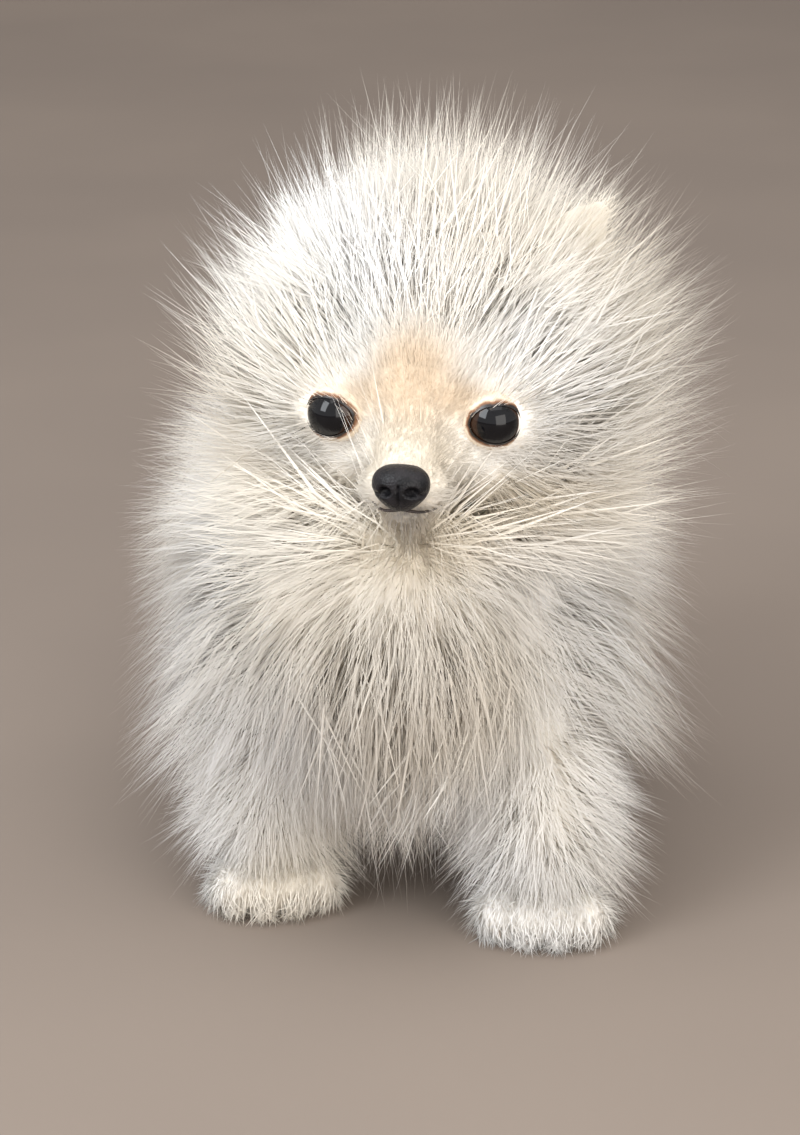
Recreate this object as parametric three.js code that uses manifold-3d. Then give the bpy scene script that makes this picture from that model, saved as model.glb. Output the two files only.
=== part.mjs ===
// A life-size Pomeranian puppy, standing square to the viewer with its head turned a little to its right.
// Units are millimetres. +Z is up, the puppy faces -Y, and its own left side is towards +X.
// Each node is a core that follows the body, with flat tapered locks of coat rooted in it.

import * as THREE from "three";
import { mergeVertices } from "three/addons/utils/BufferGeometryUtils.js";
import Module from "manifold-3d";

const wasm = await Module();
wasm.setup();

// Driving dimensions of the animal
const GAP = 0.35; // clearance that neighbouring nodes keep
const MANE_EDGE = 1.07; // how far past the mane's tips its own room reaches
const SKULL = new THREE.Vector3(4.5, 20.8, 137.5); // centre of the skull
const HEAD_TURN = THREE.MathUtils.degToRad(-9);
const EYE = { x: 18.6, y: -15.4, z: 0.6, radius: 7.9, cornea: 6.4, bulge: 2.3, outward: 17 };
const NOSE = { y: -37.4, z: -9.6, wide: 6.9, deep: 5.2, high: 5.7 };
const EAR = { base: [21, 7, 20], tip: [44, 15, 49], wide: 13, thick: 5.6, wall: 2.2 };
const TOE_COUNT = 4;
const PAW = { long: 15.5, wide: 17, high: 13, toe: 6.4 };

// Where the coat's tips reach: eggs, each with its own radius towards -x, +x, -y, +y, -z and +z.
// A square above 2 makes an egg boxier, as the skirt is where it hangs beside the legs
const MANE_COAT = { at: [9.5, 32, 138], r: [72, 74, 46, 58, 50, 73] };
const RUFF_COAT = { at: [5, 12, 112], r: [66, 70, 26, 72, 32, 40] };
const TRUNK_COAT = { at: [-1, 72, 66], r: [76, 76, 86, 98, 44, 80], square: 2.2 };
const SKIRT_COAT = { at: [0, 42, 46], r: [74, 74, 46, 66, 32, 44], square: 3.2 };
const BIB_COAT = { at: [1, 12, 60], r: [42, 42, 31, 36, 46, 44] };

// The cores under the coat, which reach less than half way from the skin to the tips
const CHEST = { at: [0, 34, 82], r: [50, 50, 34, 46, 40, 46] };
const LOIN = { at: [0, 80, 84], r: [51, 51, 50, 46, 38, 46] };
const RUMP = { at: [0, 118, 86], r: [48, 48, 40, 36, 40, 40] };
const THROAT = { at: [6, 30, 120], r: [39, 39, 25, 34, 26, 26] };

// The cut between head and neck is a plane that falls towards the chin
const NAPE = new THREE.Vector3(6, 34, 120);
const NAPE_NORMAL = new THREE.Vector3(0, 0.55, -0.835).normalize();

// Each leg: where it leaves the trunk, where it stands, and the column that its own coat fills
const FORE = { top: [30, 24, 62], coreTop: 14, coreFoot: 12, column: 25, ceiling: 60 };
const HIND = { top: [25, 118, 60], coreTop: 15, coreFoot: 11.5, column: 24, ceiling: 58 };
const LEGS = [
  { name: "foreleg_left", side: 1, plan: FORE, foot: [35, 12], toes: -4 },
  { name: "foreleg_right", side: -1, plan: FORE, foot: [-35, 29], toes: 10 },
  { name: "hindleg_left", side: 1, plan: HIND, foot: [30, 122], toes: 0 },
  { name: "hindleg_right", side: -1, plan: HIND, foot: [-30, 126], toes: 0 },
];

// The tail curls up from the rump and lies along the back
const TAIL_PATH = new THREE.CatmullRomCurve3(
  [
    [0, 132, 104],
    [0, 151, 118],
    [1, 156, 135],
    [3, 143, 148],
    [5, 122, 151],
    [6, 105, 149],
  ].map((p) => new THREE.Vector3(...p)),
);
const TAIL_COAT = { at: [4, 129, 147], r: [37, 37, 35, 39, 13, 30] };
const TAIL_CORE = { root: 9, middle: 11, tip: 5 };

const CREAM = new THREE.MeshStandardMaterial({ color: 0xeee6d8, roughness: 0.95, metalness: 0 });
const BLACK = new THREE.MeshStandardMaterial({ color: 0x0b0a0c, roughness: 0.3, metalness: 0 });
const EYE_DARK = new THREE.MeshStandardMaterial({ color: 0x07070a, roughness: 0.05, metalness: 0 });

// Solids from three.js geometry

function solidOf(geometry) {
  const bare = new THREE.BufferGeometry();
  const source = geometry.index ? geometry.toNonIndexed() : geometry;
  bare.setAttribute("position", source.getAttribute("position").clone());
  const merged = mergeVertices(bare, 1e-3);
  const mesh = { vertProperties: merged.attributes.position.array, triVerts: new Uint32Array(merged.index.array) };
  return new wasm.Manifold(new wasm.Mesh({ numProp: 3, ...mesh }));
}

function geometryOf(solid) {
  const mesh = solid.getMesh();
  const geometry = new THREE.BufferGeometry();
  geometry.setAttribute("position", new THREE.BufferAttribute(new Float32Array(mesh.vertProperties), 3));
  geometry.setIndex(new THREE.BufferAttribute(new Uint32Array(mesh.triVerts), 1));
  geometry.computeVertexNormals();
  return geometry;
}

function join(solids) {
  return wasm.Manifold.union(solids);
}

// The largest closed surface of a solid
function largest(solid) {
  const pieces = solid.decompose();
  return pieces.reduce((best, piece) => (piece.volume() > best.volume() ? piece : best));
}

// An egg, grown on every side by a clearance
function eggGeometry(egg, grow = 0, around = 22, down = 14) {
  const geometry = new THREE.SphereGeometry(1, around, down).rotateX(Math.PI / 2);
  const place = geometry.attributes.position;
  for (let i = 0; i < place.count; i += 1) {
    const unit = new THREE.Vector3().fromBufferAttribute(place, i);
    const radii = radiiTowards(egg, unit).addScalar(grow);
    place.setXYZ(
      i,
      egg.at[0] + unit.x * radii.x,
      egg.at[1] + unit.y * radii.y,
      egg.at[2] + unit.z * radii.z,
    );
  }
  return geometry;
}

function radiiTowards(egg, offset) {
  return new THREE.Vector3(
    offset.x < 0 ? egg.r[0] : egg.r[1],
    offset.y < 0 ? egg.r[2] : egg.r[3],
    offset.z < 0 ? egg.r[4] : egg.r[5],
  );
}

// Under 1 inside the egg, 1 on it and more outside
function levelIn(egg, point) {
  const offset = point.clone().sub(new THREE.Vector3(...egg.at));
  const { x, y, z } = offset.divide(radiiTowards(egg, offset));
  const square = egg.square ?? 2;
  return Math.pow(Math.abs(x) ** square + Math.abs(y) ** square + Math.abs(z) ** square, 1 / square);
}

function normalOn(egg, point) {
  const offset = point.clone().sub(new THREE.Vector3(...egg.at));
  const radii = radiiTowards(egg, offset);
  return offset.divide(radii).divide(radii).normalize();
}

// An even egg has one radius for each axis
function evenEgg(at, x, y, z) {
  return { at, r: [x, x, y, y, z, z] };
}

// A limb between two points, round at both ends
function limbGeometry(from, to, fromRadius, toRadius, sides = 14) {
  const start = new THREE.Vector3(...from);
  const axis = new THREE.Vector3(...to).sub(start);
  const length = axis.length();
  const steps = 3;
  const profile = [];
  for (let i = 0; i <= steps; i += 1) {
    const angle = (i / steps) * (Math.PI / 2);
    profile.push(new THREE.Vector2(fromRadius * Math.sin(angle), -fromRadius * Math.cos(angle)));
  }
  for (let i = 0; i <= steps; i += 1) {
    const angle = (i / steps) * (Math.PI / 2);
    profile.push(new THREE.Vector2(toRadius * Math.cos(angle), length + toRadius * Math.sin(angle)));
  }
  profile[0].x = 0;
  profile[profile.length - 1].x = 0;
  const turn = new THREE.Quaternion().setFromUnitVectors(new THREE.Vector3(0, 1, 0), axis.normalize());
  return new THREE.LatheGeometry(profile, sides).applyQuaternion(turn).translate(...from);
}

// Places in the head's own frame, moved to the body's frame

const HEAD_PLACE = new THREE.Matrix4()
  .makeRotationZ(HEAD_TURN)
  .setPosition(SKULL);

function headSolid(geometry) {
  return solidOf(geometry.clone().applyMatrix4(HEAD_PLACE));
}

function eyeGeometry(side, grow = 0) {
  const ball = new THREE.SphereGeometry(EYE.radius + grow, 14, 10);
  const cornea = new THREE.SphereGeometry(EYE.cornea + grow, 14, 10).translate(0, -EYE.bulge, 0);
  const turn = THREE.MathUtils.degToRad(side * EYE.outward);
  const joined = join([solidOf(ball), solidOf(cornea)]);
  return geometryOf(joined).rotateZ(turn).translate(side * EYE.x, EYE.y, EYE.z);
}

function noseGeometry(grow = 0) {
  const pad = evenEgg([0, NOSE.y, NOSE.z], NOSE.wide, NOSE.deep, NOSE.high);
  const stem = evenEgg([0, NOSE.y + 0.8, NOSE.z - 3.4], 3.6, 4.2, 4);
  return join([solidOf(eggGeometry(pad, grow, 14, 8)), solidOf(eggGeometry(stem, grow, 8, 6))]);
}

// Each nostril is a comma: a round hole and a slit towards the side
function nostrils() {
  const holes = [];
  for (const side of [-1, 1]) {
    const hole = evenEgg([side * 2.9, NOSE.y - 4.6, NOSE.z - 0.4], 1.7, 3.4, 1.35);
    const slit = evenEgg([side * 4.9, NOSE.y - 3.4, NOSE.z - 1.1], 2.1, 2.6, 0.6);
    holes.push(solidOf(eggGeometry(hole, 0, 6, 5)), solidOf(eggGeometry(slit, 0, 6, 5)));
  }
  return join(holes);
}

// An ear is a leaf with a cup in its front, its middle line running from base to tip
function leafGeometry(side, wide, thick, from, to, ahead) {
  const steps = 6;
  const profile = [];
  for (let i = 0; i <= steps; i += 1) {
    const along = i / steps;
    profile.push(new THREE.Vector2(Math.sin(Math.PI * Math.pow(along, 0.75)) * (1 - 0.15 * along), along));
  }
  profile[0].x = 0;
  profile[steps].x = 0;
  const start = new THREE.Vector3(side * EAR.base[0], EAR.base[1], EAR.base[2]);
  const end = new THREE.Vector3(side * EAR.tip[0], EAR.tip[1], EAR.tip[2]);
  const up = end.clone().sub(start);
  const front = new THREE.Vector3(side * 0.35, -1, 0.15);
  const across = new THREE.Vector3().crossVectors(up, front).normalize();
  const facing = new THREE.Vector3().crossVectors(across, up).normalize();
  const length = up.length() * (to - from);
  const leaf = new THREE.LatheGeometry(profile, 12).scale(wide, length, thick);
  const turn = new THREE.Matrix4().makeBasis(across, up.clone().normalize(), facing);
  const at = start.clone().addScaledVector(up, from).addScaledVector(facing, ahead);
  return leaf.applyMatrix4(turn).translate(at.x, at.y, at.z);
}

function earSolid(side) {
  const leaf = headSolid(leafGeometry(side, EAR.wide, EAR.thick, -0.25, 1, 0));
  const cup = headSolid(leafGeometry(side, EAR.wide - EAR.wall, EAR.thick, 0.15, 0.93, EAR.wall + 1.4));
  return largest(leaf.subtract(cup));
}

function earSocket(side) {
  return headSolid(leafGeometry(side, EAR.wide + GAP, EAR.thick + GAP, -0.27, 1.02, 0));
}

// Locks of coat

let seed = 20;
function random() {
  seed = (seed * 16807) % 2147483647;
  return seed / 2147483647;
}

function between(low, high) {
  return low + (high - low) * random();
}

// How wide a lock is along its length: narrow in the root, full in the middle, closed at the tip
function lockGirth(along) {
  return Math.pow(1 - along, 0.45) * (0.4 + 1.5 * along);
}

// A lock is a three-sided cone, bent along a curve, flat underneath with a low ridge on its back
function lockGeometry({ root, lift, tip, out, wide, thick }) {
  const curve = new THREE.QuadraticBezierCurve3(root, lift, tip);
  const geometry = new THREE.ConeGeometry(1, 1, 3, 3);
  const place = geometry.attributes.position;
  for (let i = 0; i < place.count; i += 1) {
    const along = place.getY(i) + 0.5;
    const girth = along < 0.99 ? lockGirth(along) / (1 - along) : 0;
    const forward = curve.getTangent(along);
    const across = new THREE.Vector3().crossVectors(forward, out).normalize();
    const proud = new THREE.Vector3().crossVectors(across, forward).normalize();
    const at = curve
      .getPoint(along)
      .addScaledVector(across, (place.getX(i) * girth * wide) / 2)
      .addScaledVector(proud, (place.getZ(i) * girth * thick) / 2);
    place.setXYZ(i, at.x, at.y, at.z);
  }
  return geometry;
}

// Places spread evenly over an egg, turn by turn from its foot to its top
function spreadOver(egg, count) {
  const golden = Math.PI * (3 - Math.sqrt(5));
  const places = [];
  for (let i = 0; i < count; i += 1) {
    const z = -1 + (2 * (i + 0.5)) / count;
    const ring = Math.sqrt(1 - z * z);
    const unit = new THREE.Vector3(ring * Math.cos(golden * i), ring * Math.sin(golden * i), z);
    const point = unit.clone().multiply(radiiTowards(egg, unit)).add(new THREE.Vector3(...egg.at));
    places.push({ point, normal: normalOn(egg, point) });
  }
  return places;
}

// Walks outwards from a place until it meets the level of the coat's tips
function lengthToTips(point, heading, coats, reach) {
  let length = 4;
  const level = () => Math.min(...coats.map((egg) => levelIn(egg, point.clone().addScaledVector(heading, length))));
  while (length < 70 && level() < reach) {
    length += 1;
  }
  return length;
}

// The coat of one region: locks rooted over its cores, lying the way lie() says
function growCoat({ cores, coats, counts, lie, rise, wide, thick, keep, settle }) {
  const locks = [];
  cores.forEach((egg, which) => {
    for (const { point, normal } of spreadOver(egg, counts[which])) {
      const buried = cores.some((other) => other !== egg && levelIn(other, point) < 0.97);
      if (buried || !keep(point, normal)) {
        continue;
      }
      const flow = lie(point, normal);
      flow.addScaledVector(normal, -flow.dot(normal)).normalize();
      flow.applyAxisAngle(normal, between(-0.26, 0.26));
      const up = rise(point);
      const heading = normal.clone().multiplyScalar(up).addScaledVector(flow, 1 - up).normalize();
      const length = lengthToTips(point, heading, coats, between(0.94, 1.05));
      const tip = point.clone().addScaledVector(heading, length);
      tip.z = Math.max(tip.z, 12);
      if (settle) {
        settle(tip);
      }
      const root = point.clone().addScaledVector(normal, -5);
      const lift = point.clone().addScaledVector(normal, length * 0.42).addScaledVector(flow, length * 0.1);
      const size = between(0.85, 1.15);
      locks.push(solidOf(lockGeometry({ root, lift, tip, out: normal, wide: wide * size, thick: thick * size })));
    }
  });
  return locks;
}

// Rooms: the space that each node may fill, so that neighbours meet face to face across a thin cut

function scaledEgg(egg, factor) {
  return { at: egg.at, r: egg.r.map((radius) => radius * factor) };
}

const maneRooms = [MANE_COAT, RUFF_COAT].map((egg) => scaledEgg(egg, MANE_EDGE));
const maneCut = join(maneRooms.map((egg) => solidOf(eggGeometry(egg, 0, 14, 8))));
const maneCutGrown = join(maneRooms.map((egg) => solidOf(eggGeometry(egg, GAP, 14, 8))));

// A half space as a large box whose lower face lies on the plane
function halfSpace(point, normal, offset) {
  const size = 600;
  const box = new THREE.BoxGeometry(size, size, size).translate(0, 0, size / 2);
  const turn = new THREE.Quaternion().setFromUnitVectors(new THREE.Vector3(0, 0, 1), normal);
  const at = point.clone().addScaledVector(normal, offset);
  return solidOf(box.applyQuaternion(turn).translate(at.x, at.y, at.z));
}

const behindNape = halfSpace(NAPE, NAPE_NORMAL, GAP / 2);
const aheadOfNape = halfSpace(NAPE, NAPE_NORMAL.clone().negate(), GAP / 2);

// Keeps a lock's tip on its own side of the cut between head and neck
function stayOnSide(sign) {
  return (tip) => {
    const past = tip.clone().sub(NAPE).dot(NAPE_NORMAL) * sign;
    if (past < 3) {
      tip.addScaledVector(NAPE_NORMAL, sign * (3 - past));
    }
  };
}

function columnGeometry(leg, grow) {
  const { column, ceiling } = leg.plan;
  const wide = column + grow;
  const tall = ceiling + grow;
  const profile = [
    [0, -8],
    [wide, -8],
    [wide, tall * 0.66],
    [wide * 0.88, tall * 0.83],
    [wide * 0.55, tall * 0.96],
    [0, tall],
  ].map(([r, z]) => new THREE.Vector2(r, z));
  const room = new THREE.LatheGeometry(profile, 16).rotateX(Math.PI / 2).scale(1, 1.2, 1);
  return room.translate(leg.foot[0] + leg.side, leg.foot[1] + 4, 0);
}

const floor = solidOf(new THREE.BoxGeometry(600, 600, 60).translate(0, 0, -30));

// Legs

function pawSolids(leg) {
  const [x, y] = leg.foot;
  const turn = THREE.MathUtils.degToRad(leg.toes);
  const pad = evenEgg([0, -2, PAW.high * 0.42], PAW.wide * 0.8, PAW.long, PAW.high * 0.6);
  const pieces = [eggGeometry(pad, 0, 12, 6)];
  for (let i = 0; i < TOE_COUNT; i += 1) {
    const across = (i - (TOE_COUNT - 1) / 2) * PAW.wide * 0.43;
    const ahead = -PAW.long * 0.72 + Math.abs(i - 1.5) * 2.6;
    const toe = evenEgg([across, ahead, PAW.toe * 0.85], PAW.toe * 0.86, PAW.toe * 1.25, PAW.toe);
    pieces.push(eggGeometry(toe, 0, 6, 5));
  }
  return pieces.map((piece) => solidOf(piece.rotateZ(turn).translate(x, y, 0)));
}

// Locks hang round a leg in rows, longer at the back where the feathers grow
function legLocks(leg, top, foot, bone) {
  const locks = [];
  const rows = [0.2, 0.62];
  rows.forEach((down, row) => {
    const middle = new THREE.Vector3().lerpVectors(top, foot, down);
    const count = 4;
    for (let i = 0; i < count; i += 1) {
      const angle = ((i + row * 0.5 + 0.25) / count) * Math.PI * 2 + between(-0.15, 0.15);
      const normal = new THREE.Vector3(Math.cos(angle), Math.sin(angle), 0);
      const radius = bone * (1.05 - 0.25 * down);
      const point = middle.clone().addScaledVector(normal, radius);
      const length = between(22, 26) + 4 * Math.max(0, normal.y);
      const tip = point.clone().addScaledVector(normal, 5.5).add(new THREE.Vector3(0, 0, -length));
      tip.z = Math.max(tip.z, 7);
      const root = point.clone().addScaledVector(normal, -5);
      const lift = point.clone().addScaledVector(normal, 6).add(new THREE.Vector3(0, 0, -length * 0.3));
      locks.push(solidOf(lockGeometry({ root, lift, tip, out: normal, wide: between(19, 22), thick: 6.5 })));
    }
  });
  return locks;
}

function legSolid(leg) {
  const [x, y] = leg.foot;
  const { plan } = leg;
  const top = new THREE.Vector3(leg.side * plan.top[0], plan.top[1], plan.top[2]);
  const foot = new THREE.Vector3(x, y + 2, 14);
  const room = solidOf(columnGeometry(leg, 0));
  const core = solidOf(limbGeometry(top.toArray(), foot.toArray(), plan.coreTop + 4, plan.coreFoot, 8));
  const coat = legLocks(leg, top, foot, plan.coreTop);
  return largest(join([core, ...pawSolids(leg), ...coat]).intersect(room).subtract(floor));
}

// Tail

function tailCore() {
  const pieces = [];
  const steps = 4;
  for (let i = 0; i < steps; i += 1) {
    const [from, to] = [i, i + 1].map((k) => TAIL_PATH.getPoint(k / steps));
    const [start, end] = [i, i + 1].map((k) => {
      const along = k / steps;
      return along < 0.5
        ? THREE.MathUtils.lerp(TAIL_CORE.root, TAIL_CORE.middle, along * 2)
        : THREE.MathUtils.lerp(TAIL_CORE.middle, TAIL_CORE.tip, along * 2 - 1);
    });
    pieces.push(solidOf(limbGeometry(from.toArray(), to.toArray(), start, end, 7)));
  }
  return join(pieces);
}

// The plume falls out from the tail's curl to every side and forwards along the back
function tailLocks() {
  const locks = [];
  const rows = 4;
  for (let row = 0; row < rows; row += 1) {
    const along = 0.34 + (0.62 * row) / (rows - 1);
    const middle = TAIL_PATH.getPoint(along);
    const forward = TAIL_PATH.getTangent(along);
    const side = new THREE.Vector3(1, 0, 0);
    const outward = new THREE.Vector3().crossVectors(side, forward).normalize();
    for (let i = 0; i < 4; i += 1) {
      const angle = THREE.MathUtils.lerp(-2.1, 2.1, (i + (row % 2) * 0.4 + 0.3) / 4);
      const normal = outward.clone().multiplyScalar(-Math.cos(angle)).addScaledVector(side, Math.sin(angle));
      const point = middle.clone().addScaledVector(normal, 5);
      const heading = normal.clone().multiplyScalar(0.68).addScaledVector(forward, 0.74).normalize();
      const length = lengthToTips(point, heading, [TAIL_COAT], between(0.93, 1.03));
      const tip = point.clone().addScaledVector(heading, length);
      const lift = point.clone().addScaledVector(normal, length * 0.45);
      locks.push(solidOf(lockGeometry({ root: point, lift, tip, out: normal, wide: between(20, 24), thick: 7 })));
    }
  }
  return locks;
}

function tailRoom(grow) {
  const egg = solidOf(eggGeometry(scaledEgg(TAIL_COAT, 1.05), grow, 16, 8));
  const stalk = limbGeometry([0, 130, 102], [1, 156, 132], TAIL_CORE.root + 1 + grow, TAIL_CORE.middle + grow);
  return join([egg, solidOf(stalk)]);
}

// Torso

// The trunk's coat runs back along the spine and falls down the sides, the chest and the rump
function trunkLie(point) {
  const high = THREE.MathUtils.smoothstep(point.z, 80, 122);
  const front = 1 - THREE.MathUtils.smoothstep(point.y, 20, 60);
  const behind = THREE.MathUtils.smoothstep(point.y, 118, 150);
  const back = new THREE.Vector3(0, 1, -0.1).multiplyScalar(high * (1 - behind) + 0.25);
  const down = new THREE.Vector3(0, 0.35 - 0.45 * front, -1).multiplyScalar(1 - high + 0.3 * front + 0.6 * behind);
  return back.add(down);
}

// The belly's middle and the places over the legs are out of sight and keep no locks
function underBelly(point) {
  return point.z < 62 && Math.abs(point.x) < 24 && point.y > 22 && point.y < 132;
}

function torsoSolid(tailRoomGrown) {
  const cores = [CHEST, LOIN, RUMP];
  const coat = growCoat({
    cores,
    coats: [TRUNK_COAT, SKIRT_COAT, BIB_COAT],
    counts: [62, 42, 32],
    lie: trunkLie,
    rise: (point) => 0.48 + 0.17 * THREE.MathUtils.smoothstep(point.z, 92, 118),
    wide: 27,
    thick: 8,
    keep: (point) => maneRooms.every((egg) => levelIn(egg, point) > 0.84) && !underBelly(point),
  });
  const body = join([...cores.map((egg) => solidOf(eggGeometry(egg, 0, 14, 10))), ...coat]);
  const rooms = LEGS.map((leg) => solidOf(columnGeometry(leg, GAP)));
  return largest(body.subtract(join([maneCutGrown, tailRoomGrown, floor, ...rooms])));
}

// Head and neck

const crownCore = { at: [6, 32, 150], r: [37, 41, 34, 34, 28, 30] };
const cheekCore = { at: [6, 30, 128], r: [41, 45, 30, 32, 22, 24] };
const noseTip = new THREE.Vector3(0, NOSE.y, NOSE.z).applyMatrix4(HEAD_PLACE);

// The mane flows away from the nose, and below the jaw it falls forwards over the chest
function maneLie(point) {
  const low = 1 - THREE.MathUtils.smoothstep(point.z, 108, 128);
  const fromNose = point.clone().sub(noseTip).normalize();
  const overChest = new THREE.Vector3(point.x * 0.02, point.y < 40 ? -0.55 : 0.7, -1).normalize();
  return fromNose.lerp(overChest, low);
}

// The face keeps only short fur: an oval round the eyes and the muzzle
function onFace(point) {
  const local = point.clone().applyMatrix4(HEAD_PLACE.clone().invert());
  const across = local.x / 31;
  const up = (local.z - 2) / (local.z > 2 ? 29 : 24);
  return local.y < 4 && across * across + up * up < 1;
}

function faceSolids() {
  const pieces = [
    eggGeometry(evenEgg([0, 2, 4], 33, 22.5, 28), 0, 14, 10),
    eggGeometry(evenEgg([0, -19, -8], 15, 12, 10.5), 0, 12, 8),
    limbGeometry([0, -12, -1], [0, -32.5, -8.2], 10, 7, 10),
    eggGeometry(evenEgg([0, -26.5, -19.5], 6.6, 9, 4.6), 0, 12, 8),
  ];
  for (const side of [-1, 1]) {
    pieces.push(
      eggGeometry(evenEgg([side * 4.6, -30.6, -12.8], 6.2, 7, 5.6), 0, 12, 8),
      eggGeometry(evenEgg([side * 18, -10, 0.5], 14.5, 11.6, 12.5), 0, 14, 10),
      lidGeometry(side),
    );
  }
  return pieces.map(headSolid);
}

// The lids are one oval ring round the front of each eye
function lidGeometry(side) {
  const turn = THREE.MathUtils.degToRad(side * EYE.outward);
  const ring = new THREE.TorusGeometry(6.2, 1.2, 5, 16).scale(1, 0.9, 1.1).rotateX(Math.PI / 2);
  return ring.translate(0, -5.4, 0).rotateZ(turn).translate(side * EYE.x, EYE.y, EYE.z);
}

// The line of the mouth falls from the nose and then runs back under each lip
function mouthLine() {
  const strokes = [];
  const stroke = (from, middle, to, wide) =>
    strokes.push(
      headSolid(
        lockGeometry({
          root: new THREE.Vector3(...from),
          lift: new THREE.Vector3(...middle),
          tip: new THREE.Vector3(...to),
          out: new THREE.Vector3(0, 0, 1),
          wide: wide * 5,
          thick: wide,
        }),
      ),
    );
  for (const side of [-1, 1]) {
    stroke([side * -2, -38.5, -17], [side * 8, -37, -18.5], [side * 13.5, -24, -14.5], 1.1);
  }
  const philtrum = evenEgg([0, -38, -16], 0.6, 2.4, 3.4);
  return join([...strokes, headSolid(eggGeometry(philtrum, 0, 8, 6))]);
}

const neckLink = limbGeometry([6, 32, 128], [0, 52, 86], 27, 32, 14);

function maneCoat(cores, counts, sign, keep) {
  return growCoat({
    cores,
    coats: [MANE_COAT, RUFF_COAT],
    counts,
    lie: maneLie,
    rise: () => 0.56,
    wide: 27,
    thick: 8,
    keep: (point) => !onFace(point) && keep(point),
    settle: stayOnSide(sign),
  });
}

const sideOfNape = (point) => point.clone().sub(NAPE).dot(NAPE_NORMAL);

const eyes = [-1, 1].map((side) => headSolid(eyeGeometry(side)));
const eyeSockets = [-1, 1].map((side) => headSolid(eyeGeometry(side, GAP)));
const placedNose = (grow) => headSolid(geometryOf(noseGeometry(grow)));

// The coat stands back from the front of each ear
function earBowl(side) {
  return headSolid(eggGeometry(evenEgg([side * 42, -2, 52], 15, 17, 17), 0, 12, 8));
}

function headNode() {
  const cores = [crownCore, cheekCore];
  const coat = maneCoat(cores, [54, 38], -1, (point) => sideOfNape(point) < -2);
  const bowls = join([-1, 1].map(earBowl));
  const mass = join([...cores.map((egg) => solidOf(eggGeometry(egg, 0, 14, 8))), ...faceSolids()]);
  const covered = join([mass, join(coat).subtract(bowls)]).intersect(aheadOfNape).intersect(maneCutWithFace());
  return largest(covered.subtract(join([...eyeSockets, placedNose(GAP), mouthLine(), ...[-1, 1].map(earSocket)])));
}

// The head's room is the mane's, with the muzzle standing out of it
function maneCutWithFace() {
  return join([maneCut, headSolid(eggGeometry(evenEgg([0, -30, -8], 24, 26, 24), 0, 12, 8))]);
}

function neckNode() {
  const cores = [THROAT, cheekCore];
  const coat = maneCoat(cores, [76, 42], 1, (point) => sideOfNape(point) > 2);
  const mass = join([solidOf(neckLink), ...cores.map((egg) => solidOf(eggGeometry(egg, 0, 14, 8)))]);
  return largest(join([mass, ...coat]).intersect(behindNape).intersect(maneCut));
}

// The scene graph

const puppy = new THREE.Group();

function addNode(name, solid, material) {
  const mesh = new THREE.Mesh(geometryOf(solid), material);
  mesh.name = name;
  puppy.add(mesh);
}

addNode("head", headNode(), CREAM);
addNode("neck", neckNode(), CREAM);
addNode("torso", torsoSolid(tailRoom(GAP)), CREAM);
addNode("tail", largest(join([tailCore(), ...tailLocks()]).intersect(tailRoom(0)).subtract(maneCutGrown)), CREAM);
LEGS.forEach((leg) => addNode(leg.name, legSolid(leg), CREAM));
addNode("ear_right", earSolid(-1), CREAM);
addNode("ear_left", earSolid(1), CREAM);
addNode("eye_right", eyes[0], EYE_DARK);
addNode("eye_left", eyes[1], EYE_DARK);
addNode("nose", largest(placedNose(0).subtract(headSolid(geometryOf(nostrils())))), BLACK);

// The origin is on the floor under the middle of the whole animal
const box = new THREE.Box3().setFromObject(puppy);
const middle = box.getCenter(new THREE.Vector3());
puppy.position.set(-middle.x, -middle.y, -box.min.z);

export default puppy;
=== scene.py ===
# A young cream-white Pomeranian, standing and facing the viewer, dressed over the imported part.
# +Z is up, the puppy faces -Y, and its own left side is towards +X. The frame is in metres.

import math

import bmesh
import bpy
import numpy as np
from mathutils import Matrix, Vector


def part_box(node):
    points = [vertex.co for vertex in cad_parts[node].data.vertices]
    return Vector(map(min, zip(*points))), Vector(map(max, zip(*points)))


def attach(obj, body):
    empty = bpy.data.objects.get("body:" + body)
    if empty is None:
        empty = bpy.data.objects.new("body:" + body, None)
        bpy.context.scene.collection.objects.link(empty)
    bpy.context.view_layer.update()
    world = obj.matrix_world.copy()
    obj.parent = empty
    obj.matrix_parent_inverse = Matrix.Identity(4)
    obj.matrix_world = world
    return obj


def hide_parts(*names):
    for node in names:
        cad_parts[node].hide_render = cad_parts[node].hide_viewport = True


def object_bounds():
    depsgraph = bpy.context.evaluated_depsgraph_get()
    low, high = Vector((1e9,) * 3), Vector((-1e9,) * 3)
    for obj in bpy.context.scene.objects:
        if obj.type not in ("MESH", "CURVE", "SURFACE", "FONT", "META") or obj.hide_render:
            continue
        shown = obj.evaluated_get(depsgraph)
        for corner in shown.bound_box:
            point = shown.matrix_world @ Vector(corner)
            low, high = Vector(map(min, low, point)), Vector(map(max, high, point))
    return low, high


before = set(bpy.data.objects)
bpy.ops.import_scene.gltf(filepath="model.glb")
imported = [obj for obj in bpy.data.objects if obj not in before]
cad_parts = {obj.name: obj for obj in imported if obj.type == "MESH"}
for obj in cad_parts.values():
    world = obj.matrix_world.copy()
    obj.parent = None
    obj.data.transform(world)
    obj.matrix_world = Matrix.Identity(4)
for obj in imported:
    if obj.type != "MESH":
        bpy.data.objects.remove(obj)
CAD_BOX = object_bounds()

MM = 0.001
SEED = 11

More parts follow.
